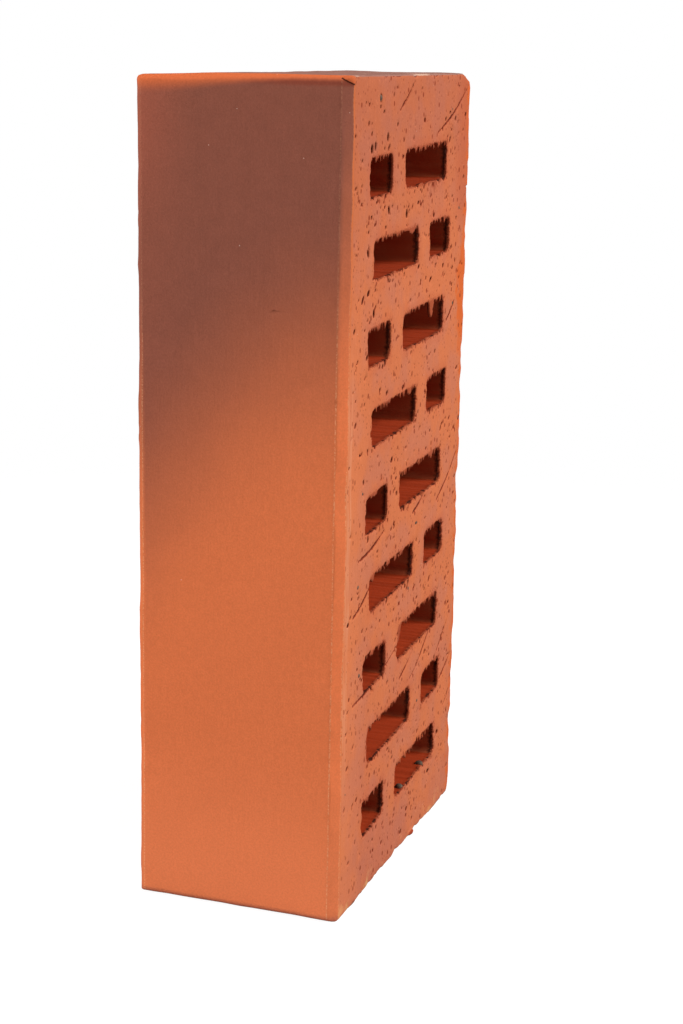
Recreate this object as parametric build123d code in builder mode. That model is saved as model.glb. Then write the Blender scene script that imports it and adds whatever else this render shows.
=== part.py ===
from build123d import *

import math
import os

# Perforated facing brick of fired clay, 250 x 120 x 65 mm, standing on its end.
#
# Frame, in millimetres: +Z runs up the brick's length, -Y is out of the finished stretcher face, and the
# two perforated bed faces look along +X and -X. The origin is the centre of the end that it stands on.
#
# The brick is one extruded and fired piece. Stones that were in the clay are separate solids, each bedded
# in a pocket of its own.

# The brick
LENGTH = 250.0  # along Z
WIDTH = 120.0  # along Y
HEIGHT = 65.0  # along X: one course's height when the brick is laid
RIGHT_BEVEL = 2.8  # between the stretcher face and the +X bed face
LEFT_BEVEL = 2.0  # between the stretcher face and the -X bed face
FACE_CORNER_RADIUS = 2.6  # between the stretcher face and the ends
BACK_CORNER_RADIUS = 3.0  # between the back and the ends

# The slots, in rows across the bed face, each row a short one and a long one. The rows, lowest first, are
# not quite evenly spaced
ROW_HEIGHTS = [25.6, 48.5, 72.9, 97.4, 123.0, 148.7, 173.2, 198.6, 222.5]
SLOT_SHIFT = 1.25  # the whole pattern sits this far towards the back
SLOT_TWIST = 1.4  # degrees, the pattern's lean about the bed face's normal
LONG_SLOT = (43.5, 11.8)  # along Y, along Z
SHORT_SLOT = (21.1, 11.6)
LONG_SLOT_OFFSET = 14.3  # from the pattern's middle to the slot's centre
SHORT_SLOT_OFFSET = 30.0
SLOT_CORNER_RADIUS = 2.4

# Stones cut through by the bed face, as (distance from the stretcher face, height, radius)
FACE_STONES = [
    (26.0, 243.6, 1.3),
    (99.2, 238.8, 0.8),
    (110.6, 207.0, 0.9),
    (106.5, 176.0, 0.8),
    (17.0, 129.8, 0.9),
    (72.7, 108.7, 0.9),
    (14.9, 101.8, 0.9),
    (65.9, 88.4, 0.8),
    (17.9, 73.4, 1.0),
    (78.2, 46.8, 0.9),
    (6.7, 39.4, 0.8),
]
STONE_RECESS = 0.2  # from the bed face down to a stone's cut top
STONE_DEPTH = 1.5  # how deep a stone goes into the clay, in radii
STONE_SIDES = 7
STONE_TAPER = 14  # degrees
STONE_TURN = 37  # degrees from one stone's corners to the next one's

# Two more stones stand out of the floor of the lowest long slot
SLOT_STONES = [66.5, 88.5]  # from the stretcher face
SLOT_STONE_RADIUS = 1.2
SLOT_STONE_DEPTH = 1.7  # from the bed face to its centre
SLOT_STONE_PROUD = 0.8  # above the slot's floor

BED_X = HEIGHT / 2
FRONT_Y = -WIDTH / 2


def slot_centres(offset, first_side):
    """Centres of one kind of slot about the pattern's middle, on alternate sides from row to row."""
    centres = []
    for row, height in enumerate(ROW_HEIGHTS):
        side = first_side if row % 2 == 0 else -first_side
        centres.append((side * offset, height - LENGTH / 2))
    return centres


short_slots = slot_centres(SHORT_SLOT_OFFSET, -1)
long_slots = slot_centres(LONG_SLOT_OFFSET, 1)
pattern = Location((SLOT_SHIFT, LENGTH / 2, 0), (0, 0, SLOT_TWIST))

lowest_long_slot = (pattern * Location((*long_slots[0], 0))).position


def slot_floor_height(y):
    """Height of the lowest long slot's floor, which leans with the pattern."""
    rise = (y - lowest_long_slot.X) * math.tan(math.radians(SLOT_TWIST))
    return lowest_long_slot.Y - LONG_SLOT[1] / 2 + rise


# The shape of every stone with its pocket: a faceted, tapered plug
with BuildPart() as stone_plugs:
    for number, (along, up, radius) in enumerate(FACE_STONES):
        with BuildSketch(Plane.YZ.offset(BED_X)):
            with Locations(Location((FRONT_Y + along, up, 0), (0, 0, number * STONE_TURN))):
                RegularPolygon(radius, STONE_SIDES)
        extrude(amount=-STONE_DEPTH * radius, taper=STONE_TAPER)
    for along in SLOT_STONES:
        with BuildSketch(Plane.XY.offset(slot_floor_height(FRONT_Y + along) + SLOT_STONE_PROUD)):
            with Locations((BED_X - SLOT_STONE_DEPTH, FRONT_Y + along)):
                RegularPolygon(SLOT_STONE_RADIUS, STONE_SIDES)
        extrude(amount=-STONE_DEPTH * SLOT_STONE_RADIUS, taper=STONE_TAPER)


# The fired clay body
with BuildPart() as brick_body:
    # The block, with its two bevels along the stretcher face
    with BuildSketch() as section:
        Rectangle(HEIGHT, WIDTH)
        left_corner, right_corner = section.vertices().group_by(Axis.Y)[0].sort_by(Axis.X)
        chamfer(left_corner, LEFT_BEVEL)
        chamfer(right_corner, RIGHT_BEVEL)
    extrude(amount=LENGTH)
    across_edges = brick_body.edges().filter_by(Axis.X).group_by(Axis.Y)
    fillet(across_edges[0], FACE_CORNER_RADIUS)
    fillet(across_edges[-1], BACK_CORNER_RADIUS)

    # The slots go right through from bed face to bed face
    with BuildSketch(Plane.YZ.offset(-BED_X)) as slots:
        with Locations(pattern):
            with Locations(*short_slots):
                RectangleRounded(*SHORT_SLOT, SLOT_CORNER_RADIUS)
            with Locations(*long_slots):
                RectangleRounded(*LONG_SLOT, SLOT_CORNER_RADIUS)
    extrude(amount=HEIGHT, mode=Mode.SUBTRACT)

    # The stones' pockets
    add(stone_plugs.part, mode=Mode.SUBTRACT)
brick_body.part.label = "brick_body"

# The stones, one solid each. The wire that cut the bed face dragged their tops off just below it
with BuildPart() as grit_stones:
    add(stone_plugs.part)
    split(bisect_by=Plane.YZ.offset(BED_X - STONE_RECESS), keep=Keep.BOTTOM)
grit_stones.part.label = "grit_stones"

os.makedirs("parts", exist_ok=True)
for piece in (brick_body, grit_stones):
    export_step(piece.part, f"parts/{piece.part.label}.step")
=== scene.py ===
# Looks of a perforated facing brick of fired clay that stands on its end.
#
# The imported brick_body gives the size. One clay mesh stands for it, with torn slot mouths, drag marks, pits
# and chipped arrises, and irregular pebbles stand for the stones in the clay. The clay is worked out as a
# field, negative inside, on a grid of planes, and a mesh is then drawn where the field is zero. Lengths are
# in millimetres, in the row frame, until a mesh is made.

import math

import bmesh
import bpy
import numpy as np
from mathutils import Matrix, Vector


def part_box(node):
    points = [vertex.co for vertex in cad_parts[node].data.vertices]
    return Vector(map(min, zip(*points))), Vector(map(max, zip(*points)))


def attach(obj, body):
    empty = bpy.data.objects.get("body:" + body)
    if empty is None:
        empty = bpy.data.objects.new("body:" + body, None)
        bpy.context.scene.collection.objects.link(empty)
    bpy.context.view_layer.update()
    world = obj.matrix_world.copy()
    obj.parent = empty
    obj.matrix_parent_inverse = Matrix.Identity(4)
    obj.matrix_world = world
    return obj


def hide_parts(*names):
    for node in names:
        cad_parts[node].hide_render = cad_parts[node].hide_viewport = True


MM = 0.001

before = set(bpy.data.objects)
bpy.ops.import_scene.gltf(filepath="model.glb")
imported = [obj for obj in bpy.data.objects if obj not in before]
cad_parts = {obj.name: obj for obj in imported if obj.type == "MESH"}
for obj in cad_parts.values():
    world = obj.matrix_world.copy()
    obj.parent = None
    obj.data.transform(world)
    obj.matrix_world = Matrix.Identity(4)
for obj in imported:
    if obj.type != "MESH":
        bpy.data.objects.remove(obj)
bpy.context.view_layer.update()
low, high = (np.array(corner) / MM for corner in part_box("brick_body"))

# The outer form. The bed faces look along +X and -X, the stretcher face along -Y.
BED_X = high[0]
FRONT_Y = low[1]
BACK_Y = high[1]
TALL = high[2] - low[2]
MIDDLE_Z = TALL / 2
RIGHT_BEVEL = 2.8  # between the stretcher face and the +X bed face
LEFT_BEVEL = 2.0  # between the stretcher face and the -X bed face
FRONT_RADIUS = 2.6
BACK_RADIUS = 3.0
STEP_DROP = 2.4  # from the upper end to a step in the right bevel, at the bed face
STEP_SLOPE = 0.6
CRUMB_Y = 15.0

# The slots, as in the CAD
ROW_HEIGHTS = [25.6, 48.5, 72.9, 97.4, 123.0, 148.7, 173.2, 198.6, 222.5]
SLOT_SHIFT = 1.25
SLOT_TWIST = math.radians(1.4)
LONG_SLOT = (43.5, 11.8)
SHORT_SLOT = (21.1, 11.6)
LONG_SLOT_OFFSET = 14.3
SHORT_SLOT_OFFSET = 30.0
SLOT_CORNER_RADIUS = 2.4

# The grid: planes this far apart along Y and Z, and near the bed faces, and further apart between them
FINE = 0.42
COARSE = 2.6
FINE_DEPTH = 3.6
GRID_MARGIN = 1.2
MOST_TRIANGLES = 194000
SMALLEST_ISLAND = 400  # corners; anything smaller is a crumb that hangs on nothing

# The cutting wire came down and towards the stretcher face, and dragged the clay with it
DRAG_ANGLE = math.radians(32)
WORK_DEPTH = 1.9  # how far in from a bed face the cut tears the clay
FRINGE_FIBRES = 1.5  # on each slot's upper edge, for each millimetre of half its length
FRINGE_REACH = 2.1
FRINGE_THICKNESS = 0.55
SCRATCH_HALF_WIDTH = 0.5
SCRATCH_DEPTH = 0.66
BACK_SCRATCHES = 14  # strewn over the -X bed face
PITS = 430  # scattered over each bed face
PIT_ANGLE_SPREAD = 0.35  # radians either side of the drag
MOUTH_PITS = 0.9  # along each slot's edges, for each millimetre of half its length
BIG_PIT_RADIUS = 0.9
BIG_PIT_DEPTH = 1.4

rng = np.random.default_rng(20)


# ---------------------------------------------------------------- the grid

def graded_planes(end):
    """Planes across the brick's thickness, close together near both bed faces."""
    step = 0.7 * FINE
    depths = [-GRID_MARGIN]
    while depths[-1] < end - COARSE:
        if depths[-1] > FINE_DEPTH:
            step = min(step * 1.25, COARSE)
        depths.append(depths[-1] + step)
    depths = np.array(depths)
    return np.concatenate([depths - end, [0.0], (end - depths)[::-1]])


def even_planes(start, end):
    """Planes at an even pitch from just outside start to just outside end."""
    return np.arange(start - GRID_MARGIN, end + GRID_MARGIN + FINE, FINE)


xs = graded_planes(BED_X).astype(np.float32)
ys = even_planes(FRONT_Y, BACK_Y).astype(np.float32)
zs = even_planes(0.0, TALL).astype(np.float32)
depth = BED_X - np.abs(xs)  # from each plane to the nearer bed face
X = xs[:, None, None]
Y = ys[None, :, None]
Z = zs[None, None, :]


def spline_weights(points, cell):
    """How much each knot of a cubic spline, cell apart, counts at each point."""
    place = (points - points.min()) / cell
    first = np.floor(place).astype(int)
    part = place - first
    weights = np.zeros((len(points), first.max() + 4), np.float32)
    rows = np.arange(len(points))
    weights[rows, first] = (1 - part) ** 3 / 6
    weights[rows, first + 1] = (3 * part ** 3 - 6 * part ** 2 + 4) / 6
    weights[rows, first + 2] = (-3 * part ** 3 + 3 * part ** 2 + 3 * part + 1) / 6
    weights[rows, first + 3] = part ** 3 / 6
    return weights


def noise(axes, cells):
    """Smooth random values over the grid of the given axes, with a spread of about 1."""
    weights = [spline_weights(axis, cell) for axis, cell in zip(axes, cells)]
    values = rng.uniform(-1, 1, [w.shape[1] for w in weights]).astype(np.float32)
    for w in weights:
        values = np.tensordot(values, w, axes=([0], [1]))
    return values / values.std()


# ---------------------------------------------------------------- the outer form

def rounded_outline(in_front, in_back, radius):
    """Distance outside the brick's outline, seen along X, from how far a point is inside front and back."""
    beyond = np.maximum(-in_front, -in_back) + radius
    above = np.abs(Z - MIDDLE_Z) - MIDDLE_Z + radius
    corner = np.hypot(np.maximum(beyond, 0), np.maximum(above, 0))
    return corner + np.minimum(np.maximum(beyond, above), 0) - radius


def outer_form():
    """The pressed block: bevelled along the stretcher face, sharp and chipped where the wire left it."""
    in_front = Y - FRONT_Y
    in_back = BACK_Y - Y
    in_end = MIDDLE_Z - np.abs(Z - MIDDLE_Z)
    outside_bed = np.abs(X) - BED_X
    # The radius over the stretcher face's upper edge is slack on the left and tight on the right.
    slack = np.where(Z > MIDDLE_Z, 1.2 * np.clip(-X / BED_X, -0.6, 1), 0)
    radius = np.where(Y < 0, FRONT_RADIUS + slack, BACK_RADIUS)
    field = np.maximum(outside_bed, rounded_outline(in_front, in_back, radius))

    # The upper end sags towards the left, and its corner at the back and the +X bed face has come off.
    sag = np.clip((-8 - X) / 20, 0, 1) * (0.9 + 0.5 * in_front / (BACK_Y - FRONT_Y))
    sag = sag + 1.6 * (1 - np.sqrt(1 - np.clip((3.0 - X - BED_X) / 3.1, 0, 1) ** 2))
    field = np.maximum(field, Z - TALL + sag)
    field = np.maximum(field, Z - TALL + 3.0 - 0.5 * (BED_X - X) - 0.3 * in_back)

    # The bevels. Bed clay has been pushed over the right one's top end, which leaves a small step there.
    step_height = TALL - STEP_DROP + STEP_SLOPE * (BED_X - X)
    pushed = 1 / (1 + np.exp(np.clip((step_height - Z) * 5, -30, 30)))
    unevenness = 0.12 * noise([zs], [9])[None, None, :]
    bevel = np.where(X > 0, RIGHT_BEVEL - 0.6 * pushed, LEFT_BEVEL) + unevenness
    field = np.maximum(field, (outside_bed - in_front + bevel) / math.sqrt(2))

    # The other arrises are left as the wire left them, and handling has chipped them.
    for side in (-1, 1):
        loss = 0.45 + 0.5 * noise([zs], [2.2]) + 0.55 * noise([zs], [7])
        loss = np.clip(loss, 0.05, 2.4)[None, None, :]
        field = np.maximum(field, (side * X - BED_X - in_back + loss) / math.sqrt(2))
        loss = 0.4 + 0.3 * noise([ys], [1.7]) + 0.3 * noise([ys], [6])
        loss = np.clip(loss, 0.05, 1.5)[None, :, None]
        field = np.maximum(field, (side * X - BED_X - in_end + loss) / math.sqrt(2))

    # A crumb pressed onto the foot of the +X bed face
    crumb = np.sqrt(((X - BED_X) / 1.2) ** 2 + ((Y - CRUMB_Y) / 2.8) ** 2 + ((Z - 0.8) / 0.8) ** 2)
    return np.minimum(field, (crumb - 1) * 0.8)


def surface_wander(field):
    """The slight hollows and sandy unevenness of clay that was dried and fired."""
    field += 0.07 * noise([xs, ys, zs], [9, 9, 9])
    field += 0.035 * noise([xs, ys, zs], [2.2, 2.2, 2.2])
    return field


# ---------------------------------------------------------------- the slots

def slot_place(y, z):
    """A place in the slots' own frame: u along a slot, away from the stretcher face, and v up across it."""
    across, up = y - SLOT_SHIFT, z - MIDDLE_Z
    u = across * math.cos(SLOT_TWIST) + up * math.sin(SLOT_TWIST)
    v = up * math.cos(SLOT_TWIST) - across * math.sin(SLOT_TWIST)
    return u, v


U, V = slot_place(Y[0], Z[0])


def all_slots():
    """Every slot as (row, is it long, centre along U, centre along V, half length, half height)."""
    slots = []
    for row, row_height in enumerate(ROW_HEIGHTS):
        centre_v = row_height - MIDDLE_Z
        side = 1 if row % 2 == 0 else -1
        for is_long, offset, size in (
            (False, -SHORT_SLOT_OFFSET, SHORT_SLOT),
            (True, LONG_SLOT_OFFSET, LONG_SLOT),
        ):
            slots.append((row, is_long, side * offset, centre_v, size[0] / 2, size[1] / 2))
    return slots


def slot_distance(u, v):
    """Distance from the nearest slot's outline, negative inside the slot."""
    nearest = np.full(u.shape, 99.0, np.float32)
    for _, _, centre_u, centre_v, half_u, half_v in all_slots():
        across_u = np.abs(u - centre_u) - half_u + SLOT_CORNER_RADIUS
        across_v = np.abs(v - centre_v) - half_v + SLOT_CORNER_RADIUS
        corner = np.hypot(np.maximum(across_u, 0), np.maximum(across_v, 0))
        distance = corner + np.minimum(np.maximum(across_u, across_v), 0) - SLOT_CORNER_RADIUS
        nearest = np.minimum(nearest, distance)
    return nearest


def cut_slots(field):
    """Slots with die lines along their walls, and mouths that the wire has torn."""
    outline = slot_distance(U, V) + 0.09 * noise([ys, zs], [1.1, 1.1]) + 0.1 * noise([ys, zs], [5, 5])
    torn = 0.24 * noise([ys, zs], [0.75, 0.75]) + 0.16 * noise([ys, zs], [1.8, 1.8])
    fade = np.clip(1 - depth / WORK_DEPTH, 0, 1) ** 1.5
    for plane, share in enumerate(fade):
        field[plane] = np.maximum(field[plane], -(outline + share * torn))
    return field


def fringe_profile(along, half_u, count, reach):
    """How far the torn fringe hangs at each place along a slot's upper edge."""
    profile = np.zeros(len(along))
    for place in rng.uniform(-half_u, half_u, count):
        width = rng.uniform(0.35, 0.85)
        length = reach * rng.uniform(0.15, 1.0)
        profile = np.maximum(profile, length * np.clip(1 - ((along - place) / width) ** 2, 0, 1) ** 0.6)
    return profile


def hang_fringe(field, side, slot, tongues):
    """Clay fibres that the wire pulled down over a slot's upper edge, and a few longer tongues."""
    row, is_long, centre_u, centre_v, half_u, half_v = slot
    along = np.arange(-half_u, half_u, 0.1)
    profile = fringe_profile(along, half_u - 0.4, int(FRINGE_FIBRES * half_u), FRINGE_REACH)
    thick = np.full(len(along), FRINGE_THICKNESS)
    for tongue_row, tongue_long, place, width, length, thickness in tongues:
        if (tongue_row, tongue_long) != (row, is_long):
            continue
        bump = 1 - ((along - place) / width) ** 2
        profile = np.maximum(profile, length * np.clip(bump, 0, 1) ** 0.7)
        thick = np.where(bump > 0, thickness, thick)
    top = centre_v + half_v
    inside_y = np.flatnonzero(np.abs(ys - SLOT_SHIFT - centre_u) < half_u + 4)
    inside_z = np.flatnonzero(np.abs(zs - MIDDLE_Z - top) < 9)
    block = np.ix_(inside_y, inside_z)
    u, v = U[block] - centre_u, V[block]
    hang = np.interp(u, along, profile, left=0, right=0)
    fibre = np.maximum.reduce([top - hang - v, v - top - 0.8, np.abs(u) - half_u - 0.2])
    layer_thickness = np.interp(u, along, thick)
    for plane in np.flatnonzero((depth < 3) & (xs * side > 0)):
        layer = np.maximum(fibre * 0.7, np.maximum(depth[plane] - layer_thickness, -depth[plane]))
        whole = np.ix_([plane], inside_y, inside_z)
        field[whole] = np.minimum(field[whole], layer[None])


# ---------------------------------------------------------------- marks in the bed faces

def dig(field, side, height, across, reach, shape):
    """Takes shape(y, z, depth), negative where clay is missing, out of the clay near one place."""
    near_x = np.flatnonzero((depth < reach) & (xs * side > 0))
    near_y = np.flatnonzero(np.abs(ys - across) < reach)
    near_z = np.flatnonzero(np.abs(zs - height) < reach)
    if min(len(near_x), len(near_y), len(near_z)) == 0:
        return
    block = np.ix_(near_x, near_y, near_z)
    gone = shape(ys[near_y][None, :, None] - across, zs[near_z][None, None, :] - height,
                 depth[near_x][:, None, None])
    field[block] = np.maximum(field[block], -gone)


def dig_pit(field, side, across, height, radius, length, deep, angle):
    """A pit where the wire plucked a grain out, drawn out along the drag."""
    def pit(y, z, down):
        along = y * math.cos(angle) + z * math.sin(angle)
        sideways = z * math.cos(angle) - y * math.sin(angle)
        share = np.sqrt((along / length) ** 2 + (sideways / radius) ** 2 + (down / deep) ** 2)
        return (share - 1) * radius
    dig(field, side, height, across, max(length, deep) + 1, pit)


def dig_scratch(field, side, start, end, half_width, deep):
    """A groove from a grain dragged under the wire: a row of pits, shallower towards its ends."""
    start, end = np.array(start, float), np.array(end, float)
    length = np.linalg.norm(end - start)
    sag = 0.04 * length
    spacing = 0.34
    for part in np.arange(0, 1, spacing / length):
        place = start + (end - start) * part
        place[1] -= sag * math.sin(math.pi * part)
        swell = rng.uniform(0.45, 1.0) + 0.25 * math.sin(math.pi * part)
        dig_pit(field, side, place[0], place[1], half_width * swell, half_width * swell, deep * swell, 0)


# Marks on the +X bed face, as places (from the stretcher face, up from the end that it stands on)
SCRATCHES = [
    ((58, 248), (44, 239.5)),
    ((116, 245), (84, 232)),
    ((108, 176), (100, 171)),
    ((117, 124), (95, 111.5)),
    ((39, 113.8), (15, 109.5)),
    ((80, 117), (68.5, 112.8)),
    ((27.5, 99.5), (11, 93)),
    ((56, 72.5), (12, 65.3)),
    ((90, 67), (70, 56.5)),
    ((72, 66), (59, 60)),
    ((114, 68), (101, 57.5)),
    ((117, 52), (105, 46)),
    ((117, 38.7), (110, 34.5)),
    ((105, 28), (99.5, 24.5)),
]
BIG_PITS = [(26.0, 243.6), (33.2, 232.4), (19.3, 229.5), (22.0, 230.2)]
BIG_PITS += [(53.8, 209.0), (36.0, 211.2), (18.0, 200.0), (24.5, 182.2)]

# Longer tongues at the +X mouths: (row, long slot, place along it, half width, length, thickness)
TONGUES = [
    (6, True, 8.4, 2.5, 5.6, 1.0),
    (2, True, -22.5, 5.0, 6.5, 0.8),
    (7, True, 15.0, 2.0, 2.2, 0.8),
    (7, True, -18.3, 0.8, 1.5, 0.6),
    (7, True, -13.8, 0.8, 1.5, 0.6),
    (5, True, 15.5, 2.2, 2.4, 0.8),
    (4, True, 11.5, 1.6, 2.4, 0.8),
    (7, False, 0.5, 0.7, 1.7, 0.6),
    (7, False, 5.0, 0.8, 2.1, 0.6),
    (8, False, 1.5, 0.8, 1.0, 0.6),
    (3, True, -18.5, 1.6, 2.6, 0.9),
]


def from_front(place):
    """A place on a bed face in the row frame, from its distance from the stretcher face and its height."""
    return place[0] + FRONT_Y, place[1]


def strewn_scratches():
    """Starts and ends of scratches that run with the drag, for the bed face that is turned away."""
    across = rng.uniform(FRONT_Y + 15, BACK_Y - 3, BACK_SCRATCHES)
    heights = rng.uniform(12, TALL - 6, BACK_SCRATCHES)
    starts = np.stack([across, heights], 1)
    lengths = rng.uniform(5, 26, BACK_SCRATCHES)
    run = np.array([-math.cos(DRAG_ANGLE), -math.sin(DRAG_ANGLE)])
    return [(start, start + run * length) for start, length in zip(starts, lengths)]


def scatter_pits(field, side):
    """Small pits all over one bed face."""
    scattered = rng.uniform((FRONT_Y + 4, 4), (BACK_Y - 1, TALL - 3), (PITS, 2))
    for across, height in scattered:
        radius = 0.38 + 0.45 * rng.beta(1, 4)
        angle = DRAG_ANGLE + rng.uniform(-PIT_ANGLE_SPREAD, PIT_ANGLE_SPREAD)
        length = radius * rng.uniform(1.1, 2.2)
        dig_pit(field, side, across, height, radius, length, rng.uniform(0.7, 1.5), angle)


def pluck_mouth(field, side, slot):
    """Pits at a slot's lower and far edges, where the wire ran off the clay and plucked the most."""
    _, _, centre_u, centre_v, half_u, half_v = slot
    for _ in range(int(half_u * MOUTH_PITS)):
        u = centre_u + rng.uniform(-half_u, half_u + 0.6)
        v = centre_v - half_v - rng.exponential(0.5)
        if rng.uniform() < 0.3:
            u = centre_u + half_u + rng.exponential(0.4)
            v = centre_v + rng.uniform(-half_v, half_v)
        across = SLOT_SHIFT + u * math.cos(SLOT_TWIST) - v * math.sin(SLOT_TWIST)
        height = MIDDLE_Z + u * math.sin(SLOT_TWIST) + v * math.cos(SLOT_TWIST)
        radius = rng.uniform(0.35, 0.6)
        dig_pit(field, side, across, height, radius, 1.5 * radius, 0.8, 1.2)


def mark_bed_face(field, side):
    """Pits, drag marks and torn mouths on one bed face."""
    in_view = side > 0
    for slot in all_slots():
        hang_fringe(field, side, slot, TONGUES if in_view else [])
    if in_view:
        scratches = [(from_front(start), from_front(end)) for start, end in SCRATCHES]
    else:
        scratches = strewn_scratches()
    for start, end in scratches:
        dig_scratch(field, side, start, end, SCRATCH_HALF_WIDTH, SCRATCH_DEPTH)
    for pit in BIG_PITS if in_view else []:
        across, height = from_front(pit)
        length = 1.5 * BIG_PIT_RADIUS
        dig_pit(field, side, across, height, BIG_PIT_RADIUS, length, BIG_PIT_DEPTH, math.pi / 2)
    scatter_pits(field, side)
    for slot in all_slots():
        pluck_mouth(field, side, slot)


# ---------------------------------------------------------------- from the field to a mesh

def surface_net(axes, field):
    """Corners and four-sided faces where the field passes through zero, one corner to a cell."""
    inside = field < 0
    cells = tuple(n - 1 for n in field.shape)
    full = np.zeros(cells, np.uint8)
    for i in (0, 1):
        for j in (0, 1):
            for k in (0, 1):
                full += inside[i:i + cells[0], j:j + cells[1], k:k + cells[2]]
    crossed = np.argwhere((full > 0) & (full < 8))
    number = np.full(cells, -1, np.int32)
    number[tuple(crossed.T)] = np.arange(len(crossed))

    total = np.zeros((len(crossed), 3))
    hits = np.zeros(len(crossed))
    for axis in range(3):
        unit = np.eye(3, dtype=int)
        one, two = unit[(axis + 1) % 3], unit[(axis + 2) % 3]
        for shift in (0 * one, one, two, one + two):
            near = crossed + shift
            far = near + unit[axis]
            a, b = field[tuple(near.T)], field[tuple(far.T)]
            hit = (a < 0) != (b < 0)
            part = np.where(hit, a / np.where(hit, a - b, 1), 0)
            point = np.stack([axes[n][near[:, n]] for n in range(3)], 1).astype(float)
            point[:, axis] += part * (axes[axis][far[:, axis]] - axes[axis][near[:, axis]])
            total[hit] += point[hit]
            hits[hit] += 1
    corners = total / hits[:, None]

    faces = []
    for axis in range(3):
        one, two = np.eye(3, dtype=int)[(axis + 1) % 3], np.eye(3, dtype=int)[(axis + 2) % 3]
        first = [slice(1, -1)] * 3
        second = [slice(1, -1)] * 3
        first[axis], second[axis] = slice(0, -1), slice(1, None)
        before, after = inside[tuple(first)], inside[tuple(second)]
        start = np.array([0 if n == axis else 1 for n in range(3)])
        for solid_first in (True, False):
            edge = np.argwhere((before != after) & (before == solid_first)) + start
            ring = [edge - one - two, edge - two, edge, edge - one]
            quad = np.stack([number[tuple(cell.T)] for cell in ring], 1)
            faces.append(quad if solid_first else quad[:, ::-1])
    return corners, np.concatenate(faces)


def without_crumbs(corners, faces):
    """The same mesh without the islands too small to be held by anything."""
    label = np.arange(len(corners))
    while True:
        lowest = label[faces].min(1)
        updated = label.copy()
        np.minimum.at(updated, faces.ravel(), np.repeat(lowest, 4))
        updated = updated[updated]
        if np.array_equal(updated, label):
            break
        label = updated
    big = np.bincount(label, minlength=len(corners))[label] > SMALLEST_ISLAND
    renumbered = np.cumsum(big) - 1
    return corners[big], renumbered[faces[big[faces[:, 0]]]]


def new_object(name, mesh):
    """An object in the scene, smooth shaded."""
    thing = bpy.data.objects.new(name, mesh)
    bpy.context.collection.objects.link(thing)
    mesh.shade_smooth()
    return thing


def note_slot_gap(mesh):
    """Keeps each corner's distance from the nearest slot's outline, for the material."""
    places = np.empty(3 * len(mesh.vertices))
    mesh.vertices.foreach_get("co", places)
    _, y, z = places.reshape(-1, 3).T / MM
    u, v = slot_place(y, z)
    gap = mesh.attributes.new("slot_gap", "FLOAT", "POINT")
    gap.data.foreach_set("value", slot_distance(u, v))


def build_clay():
    """The brick itself."""
    field = cut_slots(surface_wander(outer_form().astype(np.float32)))
    for side in (-1, 1):
        mark_bed_face(field, side)
    corners, faces = without_crumbs(*surface_net((xs, ys, zs), field))
    mesh = bpy.data.meshes.new("clay_body")
    mesh.from_pydata(corners * MM, [], faces)
    clay = new_object("clay_body", mesh)
    thin = clay.modifiers.new("thin", "DECIMATE")
    thin.ratio = min(1, MOST_TRIANGLES / (2 * len(faces)))
    thinned = bpy.data.meshes.new_from_object(clay.evaluated_get(bpy.context.evaluated_depsgraph_get()))
    clay.modifiers.clear()
    clay.data = thinned
    bpy.data.meshes.remove(mesh)
    note_slot_gap(thinned)
    return clay


# ---------------------------------------------------------------- the stones

def stone_places():
    """Centre and radius of each separate stone in the CAD, in metres, found as its islands of mesh."""
    work = bmesh.new()
    work.from_mesh(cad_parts["grit_stones"].data)
    bmesh.ops.remove_doubles(work, verts=list(work.verts), dist=0.001 * MM)
    waiting = set(work.verts)
    places = []
    while waiting:
        island = [waiting.pop()]
        for vert in island:
            for edge in vert.link_edges:
                other = edge.other_vert(vert)
                if other in waiting:
                    waiting.remove(other)
                    island.append(other)
        points = np.array([v.co for v in island])
        places.append(((points.min(0) + points.max(0)) / 2, (points.max(0) - points.min(0)).max() / 2))
    work.free()
    return places


def build_stones():
    """One lumpy pebble at each of the CAD's stones."""
    work = bmesh.new()
    for centre, radius in stone_places():
        made = bmesh.ops.create_icosphere(work, subdivisions=4, radius=radius)["verts"]
        bumps = rng.normal(size=(7, 3))
        bumps /= np.linalg.norm(bumps, axis=1)[:, None]
        for vert in made:
            direction = np.array(vert.co.normalized())
            lump = sum(max(0, direction @ bump) ** 3 for bump in bumps) / len(bumps)
            vert.co = Vector(direction * radius * (0.98 + 1.0 * lump) + centre)
    mesh = bpy.data.meshes.new("grit_pebbles")
    work.to_mesh(mesh)
    work.free()
    return new_object("grit_pebbles", mesh)


# ---------------------------------------------------------------- materials

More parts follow.
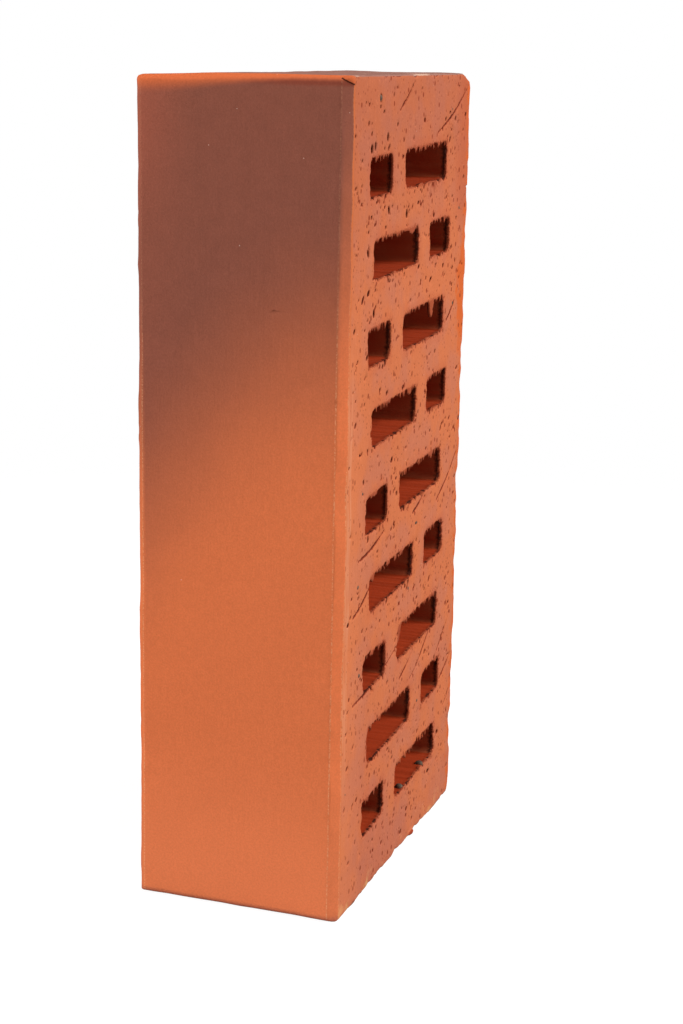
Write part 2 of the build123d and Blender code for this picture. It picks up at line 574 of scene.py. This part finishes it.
class Shader:
    """Short calls for one material's nodes."""

    def __init__(self, name):
        self.material = bpy.data.materials.new(name)
        self.material.use_nodes = True
        self.tree = self.material.node_tree
        self.surface = self.tree.nodes["Principled BSDF"]

    def put(self, socket, value):
        """Links a socket, or sets its value."""
        if isinstance(value, bpy.types.NodeSocket):
            self.tree.links.new(value, socket)
        else:
            socket.default_value = value

    def math(self, operation, a, b=0.0):
        """One sum on a value, or on two."""
        node = self.tree.nodes.new("ShaderNodeMath")
        node.operation = operation
        for socket, value in zip(node.inputs, (a, b)):
            self.put(socket, value)
        return node.outputs[0]

    def step(self, value, start, end, low_value=0.0, high_value=1.0):
        """Turns smoothly from low_value at start to high_value at end."""
        node = self.tree.nodes.new("ShaderNodeMapRange")
        node.interpolation_type = "SMOOTHSTEP"
        for socket, given in zip(node.inputs, (value, start, end, low_value, high_value)):
            self.put(socket, given)
        return node.outputs[0]

    def mix(self, factor, a, b, blend="MIX"):
        """Colour a at a factor of 0, turning to colour b at 1."""
        node = self.tree.nodes.new("ShaderNodeMix")
        node.data_type = "RGBA"
        node.blend_type = blend
        self.put(node.inputs[0], factor)
        for socket, colour in ((node.inputs[6], a), (node.inputs[7], b)):
            self.put(socket, colour if isinstance(colour, bpy.types.NodeSocket) else (*colour, 1))
        return node.outputs[2]

    def place(self, stretch=(1, 1, 1)):
        """The place on the object in millimetres, stretched."""
        coordinates = self.tree.nodes.new("ShaderNodeTexCoord").outputs["Object"]
        node = self.tree.nodes.new("ShaderNodeVectorMath")
        node.operation = "MULTIPLY"
        self.put(node.inputs[0], coordinates)
        node.inputs[1].default_value = [s / MM for s in stretch]
        return node.outputs[0]

    def split(self, vector):
        """A vector's three numbers."""
        node = self.tree.nodes.new("ShaderNodeSeparateXYZ")
        self.put(node.inputs[0], vector)
        return node.outputs

    def grain(self, size, detail=3.0, stretch=(1, 1, 1), roughness=0.55):
        """Noise from 0 to 1 with features about size millimetres across."""
        node = self.tree.nodes.new("ShaderNodeTexNoise")
        self.put(node.inputs["Vector"], self.place(stretch))
        node.inputs["Scale"].default_value = 1 / size
        node.inputs["Detail"].default_value = detail
        node.inputs["Roughness"].default_value = roughness
        return node.outputs[0]

    def spots(self, spacing, stretch=(1, 1, 1)):
        """Distance to the nearest of a scatter of points, and a random number for each point."""
        node = self.tree.nodes.new("ShaderNodeTexVoronoi")
        self.put(node.inputs["Vector"], self.place(stretch))
        node.inputs["Scale"].default_value = 1 / spacing
        return node.outputs["Distance"], self.split(node.outputs["Color"])[0]

    def noted(self, name):
        """A number kept at the mesh's corners."""
        node = self.tree.nodes.new("ShaderNodeAttribute")
        node.attribute_name = name
        return node.outputs["Fac"]

    def bump(self, height, distance, under=None):
        """A surface that stands out by distance, in millimetres, where height is 1."""
        node = self.tree.nodes.new("ShaderNodeBump")
        self.put(node.inputs["Height"], height)
        node.inputs["Distance"].default_value = distance * MM
        node.inputs["Strength"].default_value = 1.0
        if under is not None:
            self.put(node.inputs["Normal"], under)
        return node.outputs[0]


# Colours of the skin, of the cut face, of specks and slot walls, of lime and of the stones, with painted
# shade, a painted lip shadow, painted bounce light and a painted sheen among them
FACE_ORANGE = (0.65, 0.156, 0.054)
FACE_BOUNCE_LIT = (0.73, 0.186, 0.070)
FOOT_SHADE_BROWN = (0.50, 0.140, 0.080)
FLASHED = (0.225, 0.070, 0.044)
FLASHED_WARM = (0.34, 0.089, 0.052)
LIP_SHADOW_BROWN = (0.22, 0.042, 0.022)
RUBBED_ORANGE = (0.58, 0.124, 0.040)
END_SHEEN_MAUVE = (0.37, 0.170, 0.130)
CUT_ORANGE = (0.66, 0.180, 0.068)
CUT_PINK = (0.60, 0.180, 0.090)
CUT_MAUVE = (0.50, 0.150, 0.095)
CUT_SMOKED = (0.31, 0.076, 0.050)
CUT_STREAK = (0.40, 0.105, 0.055)
CUT_DARK_GRAIN = (0.33, 0.066, 0.028)
CUT_PALE_GRAIN = (0.80, 0.250, 0.105)
CUT_SUNLIT = (0.80, 0.235, 0.088)
CUT_DUSTY = (0.70, 0.290, 0.160)
RAW_ORANGE = (0.66, 0.150, 0.036)
RUDDY = (0.50, 0.105, 0.042)
BLAZE_ORANGE = (0.66, 0.122, 0.022)
MOUTH_RED = (0.52, 0.105, 0.040)
DARK_RED_AND_PIT_SHADE = (0.27, 0.042, 0.016)
SHADE_DARK = (0.060, 0.010, 0.004)
WALL_RED = (0.48, 0.052, 0.011)
WALL_BOUNCE_BROWN = (0.50, 0.135, 0.055)
LIME_WHITE = (0.78, 0.52, 0.38)
LIME_YELLOW = (0.85, 0.50, 0.20)
LIME_WARM = (0.82, 0.43, 0.23)
LIME_SPECK = (0.75, 0.55, 0.45)
STONE_DARK = (0.026, 0.015, 0.008)
STONE_LIGHT = (0.22, 0.135, 0.062)
STONE_HOLLOW = (0.09, 0.05, 0.03)


def scaled(colour, factor):
    """The colour, lighter or darker."""
    return [c * factor for c in colour]


def roughened(s, distance, grain, spread):
    """A distance with noise added, so that what follows it has a ragged edge."""
    return s.math("ADD", distance, s.math("MULTIPLY", s.math("SUBTRACT", grain, 0.5), spread))


def finished_skin(s, x, z, in_front, in_bed):
    """The skin that the die and the kiln left, flashed dark towards the top, with painted shade at the foot
    and under the upper edge, painted bounce light low down and a painted sheen on the ends.
    """
    cloud = s.math("MULTIPLY", s.math("SUBTRACT", s.grain(38, 2.0), 0.5), 22.0)
    bow = s.math("MULTIPLY", s.math("MULTIPLY", x, x), -0.0106)
    edge_height = s.math("ADD", s.math("ADD", s.math("MULTIPLY", x, 0.91), bow), 158.0)
    edge_height = s.math("ADD", edge_height, s.step(in_bed, 3.2, 1.6, 0.0, 26.0))
    flash = s.step(s.math("SUBTRACT", s.math("ADD", z, cloud), edge_height), -52.0, 46.0)
    mottled = s.mix(s.grain(2.4, 4.0), scaled(FACE_ORANGE, 0.92), scaled(FACE_ORANGE, 1.07))
    # Painted bounce light from the floor: the face is lighter towards its foot
    mottled = s.mix(s.step(z, 62.0, 4.0), mottled, FACE_BOUNCE_LIT)
    smoky = s.mix(s.grain(5.0, 5.0, roughness=0.7), scaled(FLASHED, 0.86), scaled(FLASHED, 1.16))
    warm = s.math("MULTIPLY", s.step(x, -12.0, -34.0), s.step(z, 200.0, 246.0, 0.2, 0.75))
    smoky = s.mix(warm, smoky, FLASHED_WARM)
    skin = s.mix(flash, mottled, smoky)

    # Rubbed thin over the upper edge, widely on the left and hardly on the right, with a painted lip shadow
    # as a dark line under it
    drop = s.math("SUBTRACT", float(TALL), z)
    soft = roughened(s, drop, s.grain(3.0), 0.5)
    under = s.math("MULTIPLY", s.step(s.math("ABSOLUTE", s.math("SUBTRACT", soft, 2.0)), 1.4, 0.2), 0.7)
    skin = s.mix(s.math("MULTIPLY", under, s.step(x, -10.0, 20.0)), skin, LIP_SHADOW_BROWN)
    rubbed = s.step(soft, s.step(x, -34.0, 20.0, 6.6, 2.0), s.step(x, -34.0, 20.0, 1.2, 0.2))
    skin = s.mix(rubbed, skin, RUBBED_ORANGE)
    # Painted shade along the foot, where the rounded edge turns away from the light
    foot = s.math("ADD", z, s.math("MULTIPLY", s.grain(1.6), 0.8))
    skin = s.mix(s.step(foot, 3.2, 1.0, 0.0, 0.8), skin, FOOT_SHADE_BROWN)

    # Sandy all over, and a little paler along the bevels
    sand = s.step(s.grain(0.6, 2.0), 0.3, 0.7, 0.95, 1.05)
    bevel = s.math("MULTIPLY", s.step(in_front, 0.1, 0.4), s.step(in_front, 3.6, 3.2))
    paler = s.math("MULTIPLY", bevel, s.step(z, 12.0, 50.0, 0.0, 0.17))
    skin = s.mix(1.0, skin, s.math("ADD", sand, paler), blend="MULTIPLY")

    # The ends, greyer and paler: a painted sheen where the ends catch the light at a grazing angle, clouded
    # and smeared with lime
    end = s.step(in_front, 2.4, 4.6)
    end = s.math("MULTIPLY", end, s.math("LESS_THAN", s.math("MINIMUM", drop, z), 2.4))
    pale = s.mix(s.grain(9.0, 4.0), scaled(END_SHEEN_MAUVE, 0.86), scaled(END_SHEEN_MAUVE, 1.12))
    pale = s.mix(s.step(s.grain(12.0, 3.0), 0.60, 0.72, 0.0, 0.5), pale, LIME_WHITE)
    off_smear = s.math("ABSOLUTE", s.math("SUBTRACT", in_front, 66.0))
    smear = s.math("MULTIPLY", s.step(in_bed, 3.0, 0.6), s.step(off_smear, 9.0, 3.0))
    pale = s.mix(s.math("MULTIPLY", smear, 0.6), pale, LIME_WHITE)
    return s.mix(end, skin, pale)


def cut_face(s, z, in_bed, in_back, past_bevel, gap):
    """The clay that the wire laid open: orange and pink, streaked, speckled and torn around the slots, with
    painted shade in pits and scratches, painted bounce light and painted shadow inside the slots.
    """
    patch = s.step(s.grain(16, 3.0), 0.40, 0.64)
    clay = s.mix(patch, CUT_ORANGE, CUT_PINK)
    low_patch = s.math("MULTIPLY", s.step(z, 75.0, 25.0), s.step(s.grain(22, 2.0), 0.40, 0.60))
    clay = s.mix(s.math("MULTIPLY", low_patch, 0.5), clay, CUT_MAUVE)
    clay = s.mix(s.step(z, 180.0, 250.0, 0.0, 0.35), clay, CUT_SMOKED)
    streak = s.grain(1.3, 2.0, stretch=(1, 1, 0.05))
    clay = s.mix(s.math("MULTIPLY", streak, 0.2), clay, CUT_STREAK)
    clay = s.mix(s.step(s.grain(0.9, 4.0), 0.56, 0.74, 0.0, 0.42), clay, CUT_DARK_GRAIN)
    pale_grain = s.grain(1.1, 3.0, stretch=(1, 1.3, 0.8))
    clay = s.mix(s.step(pale_grain, 0.58, 0.72, 0.0, 0.3), clay, CUT_PALE_GRAIN)

    # Bright orange beside the bevel and in a blaze on the back edge, and ruddy above the blaze
    rim = s.math("MULTIPLY", s.step(past_bevel, 1.5, 0.2), 0.6)
    clay = s.mix(rim, clay, RAW_ORANGE)
    ruddy = s.math("MULTIPLY", s.step(in_back, 20.0, 5.0), s.step(z, 190.0, 215.0))
    clay = s.mix(s.math("MULTIPLY", ruddy, 0.6), clay, RUDDY)
    from_blaze = s.math("ABSOLUTE", s.math("SUBTRACT", z, 179.0))
    width = s.step(from_blaze, 26.0, 4.0, 1.8, 8.0)
    blaze = s.math("SUBTRACT", roughened(s, in_back, s.grain(4.0, 4.0), 14.0), width)
    clay = s.mix(s.step(blaze, 2.4, -1.6, 0.0, 0.85), clay, BLAZE_ORANGE)

    # Dusty stripes beside the bevel, halfway up
    dusty = s.math("MULTIPLY", s.step(past_bevel, 4.6, 4.0), s.step(past_bevel, 0.0, 0.5))
    halfway = s.step(s.math("ABSOLUTE", s.math("SUBTRACT", z, 105.0)), 72.0, 45.0)
    stripes = s.step(s.grain(0.9, 2.0, stretch=(1, 1, 0.06)), 0.38, 0.62, 0.0, 0.75)
    dusty = s.math("MULTIPLY", s.math("MULTIPLY", dusty, halfway), stripes)
    clay = s.mix(dusty, clay, CUT_DUSTY)

    # Specks of two sizes, and the torn rim of each slot
    for spacing, least, most, strength in ((2.7, 0.35, 0.28, 0.9), (1.3, 0.50, 0.28, 0.7)):
        distance, chance = s.spots(spacing, stretch=(1, 1, 0.8))
        size = s.step(chance, least, 1.0, 0.0, most)
        clay = s.mix(s.step(distance, size, s.math("MULTIPLY", size, 0.7), 0.0, strength), clay, DARK_RED_AND_PIT_SHADE)
    clay = s.mix(s.step(roughened(s, gap, s.grain(0.55, 3.0), 3.6), 0.4, 0.0, 0.0, 0.75), clay, DARK_RED_AND_PIT_SHADE)
    clay = s.mix(s.step(roughened(s, gap, s.grain(6.0, 3.0), 9.0), 3.5, 0.5, 0.0, 0.25), clay, MOUTH_RED)

    # Lime smeared along the foot, red on the crumb that stands out there, and brighter clay near the bevel
    smear = s.math("MULTIPLY", s.step(z, 7.0, 2.0), s.step(s.grain(9.0, 5.0), 0.54, 0.66))
    clay = s.mix(s.math("MULTIPLY", smear, 0.45), clay, LIME_YELLOW)
    clay = s.mix(s.step(in_bed, -0.25, -0.5), clay, scaled(DARK_RED_AND_PIT_SHADE, 1.3))
    sunlit = s.math("MULTIPLY", s.step(past_bevel, 24.0, 2.0), s.step(z, 200.0, 150.0))
    clay = s.mix(s.math("MULTIPLY", sunlit, 0.35), clay, CUT_SUNLIT)

    # Painted shade down in the pits and scratches, where the clay faces out but lies below the face: dark
    # red, then near black deeper in
    normal = s.split(s.tree.nodes.new("ShaderNodeNewGeometry").outputs["Normal"])
    facing = s.math("ABSOLUTE", normal[0])
    pit_shade = s.math("MULTIPLY", s.step(facing, 0.10, 0.35), s.step(in_bed, 2.6, 1.6))
    clay = s.mix(s.math("MULTIPLY", pit_shade, s.step(in_bed, 0.20, 0.34)), clay, DARK_RED_AND_PIT_SHADE)
    pit_shade = s.math("MULTIPLY", pit_shade, s.step(in_bed, 0.38, 0.60))
    clay = s.mix(pit_shade, clay, SHADE_DARK)

    # Inside the slots: die lines along them, painted bounce light as a browner colour on the walls that face
    # the stretcher face, and painted shadow just inside the mouths
    far_wall = s.step(normal[1], -0.3, -0.7)
    wall = s.mix(far_wall, WALL_RED, WALL_BOUNCE_BROWN)
    wall = s.mix(s.grain(3.0, 3.0, stretch=(0.06, 1, 1)), scaled(WALL_RED, 0.8), wall)
    # Painted shadow just inside the mouths, strongest on the walls that face the stretcher face
    mouth_shadow_reach = s.math("ADD", in_bed, s.math("MULTIPLY", s.grain(1.0, 3.0), 2.0))
    torn = s.math("MULTIPLY", s.step(mouth_shadow_reach, 3.4, 2.0), s.step(far_wall, 0.0, 1.0, 0.25, 0.95))
    wall = s.mix(torn, wall, SHADE_DARK)
    return s.mix(s.step(in_bed, 0.5, 1.1), clay, s.mix(pit_shade, wall, SHADE_DARK))


def clay_material():
    """Fired clay: finished faces with the kiln's skin, and faces and slots where the clay was cut."""
    s = Shader("fired_clay")
    x, y, z = s.split(s.place())
    in_bed = s.math("SUBTRACT", float(BED_X), s.math("ABSOLUTE", x))
    in_front = s.math("SUBTRACT", y, float(FRONT_Y))
    in_back = s.math("SUBTRACT", float(BACK_Y), y)
    in_end = s.math("MINIMUM", z, s.math("SUBTRACT", float(TALL), z))
    gap = s.noted("slot_gap")

    # Where the skin gives way to the cut face: past the bevels, inside the other arrises, and in the slots
    bevel = s.step(x, -1.0, 1.0, LEFT_BEVEL, RIGHT_BEVEL)
    past_bevel = s.math("SUBTRACT", in_front, bevel)
    inside_end = s.math("SUBTRACT", in_end, s.step(in_bed, 0.4, 1.2, 0.35, 4.0))
    inside_arris = s.math("MINIMUM", past_bevel, inside_end)
    cut = s.step(roughened(s, inside_arris, s.grain(1.6), 0.45), -0.12, 0.12)
    behind = s.math("SUBTRACT", in_back, s.math("MINIMUM", in_bed, 1.0))
    cut = s.math("MULTIPLY", cut, s.step(behind, -0.25, 0.05))
    skin = finished_skin(s, x, z, in_front, in_bed)
    colour = s.mix(cut, skin, cut_face(s, z, in_bed, in_back, past_bevel, gap))

    # The step in the right bevel: painted shade as a dark line along the step, with rubbed clay above it
    in_right_bed = s.math("SUBTRACT", float(BED_X), x)
    above_step = s.math("SUBTRACT", z, float(TALL - STEP_DROP))
    above_step = s.math("SUBTRACT", above_step, s.math("MULTIPLY", in_right_bed, STEP_SLOPE))
    on_bevel = s.math("LESS_THAN", s.math("ADD", in_front, in_right_bed), RIGHT_BEVEL + 0.7)
    on_bevel = s.math("MULTIPLY", on_bevel, s.math("GREATER_THAN", x, 0.0))
    colour = s.mix(s.math("MULTIPLY", on_bevel, s.step(above_step, 0.0, 0.3)), colour, RUBBED_ORANGE)
    step_shade_line = s.math("MULTIPLY", on_bevel, s.step(s.math("ABSOLUTE", above_step), 0.34, 0.12))
    colour = s.mix(step_shade_line, colour, SHADE_DARK)

    # Lime that has come out in dots along the arrises of the bevel, and here and there as a speck
    at_cut = s.step(s.math("ABSOLUTE", past_bevel), 0.30, 0.06)
    at_face = s.step(s.math("ABSOLUTE", s.math("SUBTRACT", in_bed, bevel)), 0.30, 0.06)
    at_face = s.math("MULTIPLY", at_face, s.step(in_front, 0.8, 0.2))
    lime = s.math("MULTIPLY", s.math("MAXIMUM", at_cut, at_face), s.step(s.grain(0.5, 3.0), 0.42, 0.62))
    lime = s.math("MULTIPLY", lime, s.step(z, 205.0, 150.0, 0.12, 0.45))
    colour = s.mix(lime, colour, LIME_WARM)
    distance, chance = s.spots(7.0)
    speck = s.math("MULTIPLY", s.math("LESS_THAN", distance, 0.02), s.math("GREATER_THAN", chance, 0.4))
    colour = s.mix(s.math("MULTIPLY", speck, 0.6), colour, LIME_SPECK)
    s.put(s.surface.inputs["Base Color"], colour)

    s.put(s.surface.inputs["Roughness"], s.step(s.grain(1.5), 0.3, 0.7, 0.80, 0.95))
    s.surface.inputs["Specular IOR Level"].default_value = 0.1
    sandy = s.bump(s.grain(0.5, 4.0, roughness=0.7), 0.13)
    drawn = s.bump(s.grain(1.4, 3.0, stretch=(1, 1, 0.12)), 0.12, under=sandy)
    s.put(s.surface.inputs["Normal"], drawn)
    return s.material


def stone_material():
    """Grey-brown grit, mottled dark and light."""
    s = Shader("grit_stone")
    tone = s.mix(s.grain(0.5, 4.0), STONE_DARK, STONE_LIGHT)
    distance, _ = s.spots(0.45)
    s.put(s.surface.inputs["Base Color"], s.mix(s.step(distance, 0.3, 0.6), tone, STONE_HOLLOW))
    s.put(s.surface.inputs["Roughness"], s.step(s.grain(0.3), 0.3, 0.7, 0.55, 0.85))
    s.put(s.surface.inputs["Normal"], s.bump(s.grain(0.2, 4.0), 0.08))
    return s.material


# ---------------------------------------------------------------- the pieces

clay = build_clay()
clay.data.materials.append(clay_material())
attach(clay, "root")
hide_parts("brick_body")

stones = build_stones()
stones.data.materials.append(stone_material())
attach(stones, "root")
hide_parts("grit_stones")


# ---------------------------------------------------------------- the stage

FLOOR_RADIUS = 0.62
FLOOR_FADE = 0.22  # the paper is solid out to here, and thins to nothing at its edge


def paper_material():
    """Matt white paper that thins out into the white surroundings."""
    s = Shader("paper")
    s.put(s.surface.inputs["Base Color"], s.mix(s.grain(60, 2.0), (0.29, 0.29, 0.29), (0.31, 0.31, 0.31)))
    s.surface.inputs["Roughness"].default_value = 0.9
    s.surface.inputs["Specular IOR Level"].default_value = 0.1
    s.surface.inputs["Emission Color"].default_value = (1, 1, 1, 1)
    seen = s.tree.nodes.new("ShaderNodeLightPath").outputs["Is Camera Ray"]
    s.put(s.surface.inputs["Emission Strength"], s.math("MULTIPLY", seen, 0.84))
    x, y, _ = s.split(s.place())
    radius = s.math("SQRT", s.math("ADD", s.math("MULTIPLY", x, x), s.math("MULTIPLY", y, y)))
    s.put(s.surface.inputs["Alpha"], s.step(radius, FLOOR_RADIUS / MM, FLOOR_FADE / MM))
    return s.material


def build_floor():
    """A round sheet of paper."""
    work = bmesh.new()
    bmesh.ops.create_circle(work, cap_ends=True, segments=96, radius=FLOOR_RADIUS)
    mesh = bpy.data.meshes.new("floor")
    work.to_mesh(mesh)
    work.free()
    return new_object("floor", mesh)


def soft_box(name, place, aim, size, power):
    """A square area light that looks at aim."""
    light = bpy.data.lights.new(name, "AREA")
    light.size = size
    light.energy = power
    lamp = bpy.data.objects.new(name, light)
    bpy.context.collection.objects.link(lamp)
    lamp.location = place
    lamp.rotation_euler = (Vector(aim) - Vector(place)).to_track_quat("-Z", "Y").to_euler()


def build_world(fill):
    """Surroundings that look white and light the brick only a little."""
    world = bpy.data.worlds.new("studio")
    bpy.context.scene.world = world
    world.use_nodes = True
    tree = world.node_tree
    seen = tree.nodes.new("ShaderNodeLightPath").outputs["Is Camera Ray"]
    strength = tree.nodes.new("ShaderNodeMapRange")
    tree.links.new(seen, strength.inputs["Value"])
    strength.inputs["To Min"].default_value = fill
    background = tree.nodes["Background"]
    background.inputs["Color"].default_value = (1, 1, 1, 1)
    tree.links.new(strength.outputs["Result"], background.inputs["Strength"])


floor = build_floor()
floor.data.materials.append(paper_material())

middle = (0, 0, MIDDLE_Z * MM)
soft_box("bed_light", (1.25, 0.40, 0.92), middle, 1.0, 28)
soft_box("face_light", (-0.30, -1.40, 0.85), middle, 1.0, 21)
soft_box("side_light", (-1.20, -0.70, 0.45), middle, 0.8, 6)
build_world(0.12)
bpy.context.scene.view_settings.view_transform = "Standard"


# ---------------------------------------------------------------- the camera

CAMERA_PLACE = (209.3, -569.9, 257.0)
CAMERA_YAW = math.radians(-19.17)  # from +Y towards +X
CAMERA_PITCH = math.radians(-13.43)
CAMERA_ROLL = math.radians(1.11)
CAMERA_LENS = 68.16  # on a 36 mm sensor whose long side is the picture's


def place_camera():
    """A camera that looks down a little at the arris between the stretcher face and the +X bed face."""
    forward = Vector((
        math.sin(CAMERA_YAW) * math.cos(CAMERA_PITCH),
        math.cos(CAMERA_YAW) * math.cos(CAMERA_PITCH),
        math.sin(CAMERA_PITCH),
    ))
    level = Vector((math.cos(CAMERA_YAW), -math.sin(CAMERA_YAW), 0))
    upward = level.cross(forward)
    right = level * math.cos(CAMERA_ROLL) + upward * math.sin(CAMERA_ROLL)
    up = upward * math.cos(CAMERA_ROLL) - level * math.sin(CAMERA_ROLL)
    turn = Matrix((right, up, -forward)).transposed().to_4x4()
    data = bpy.data.cameras.new("camera")
    data.lens = CAMERA_LENS
    camera = bpy.data.objects.new("camera", data)
    camera.matrix_world = Matrix.Translation(Vector(CAMERA_PLACE) * MM) @ turn
    bpy.context.collection.objects.link(camera)
    bpy.context.scene.camera = camera


place_camera()
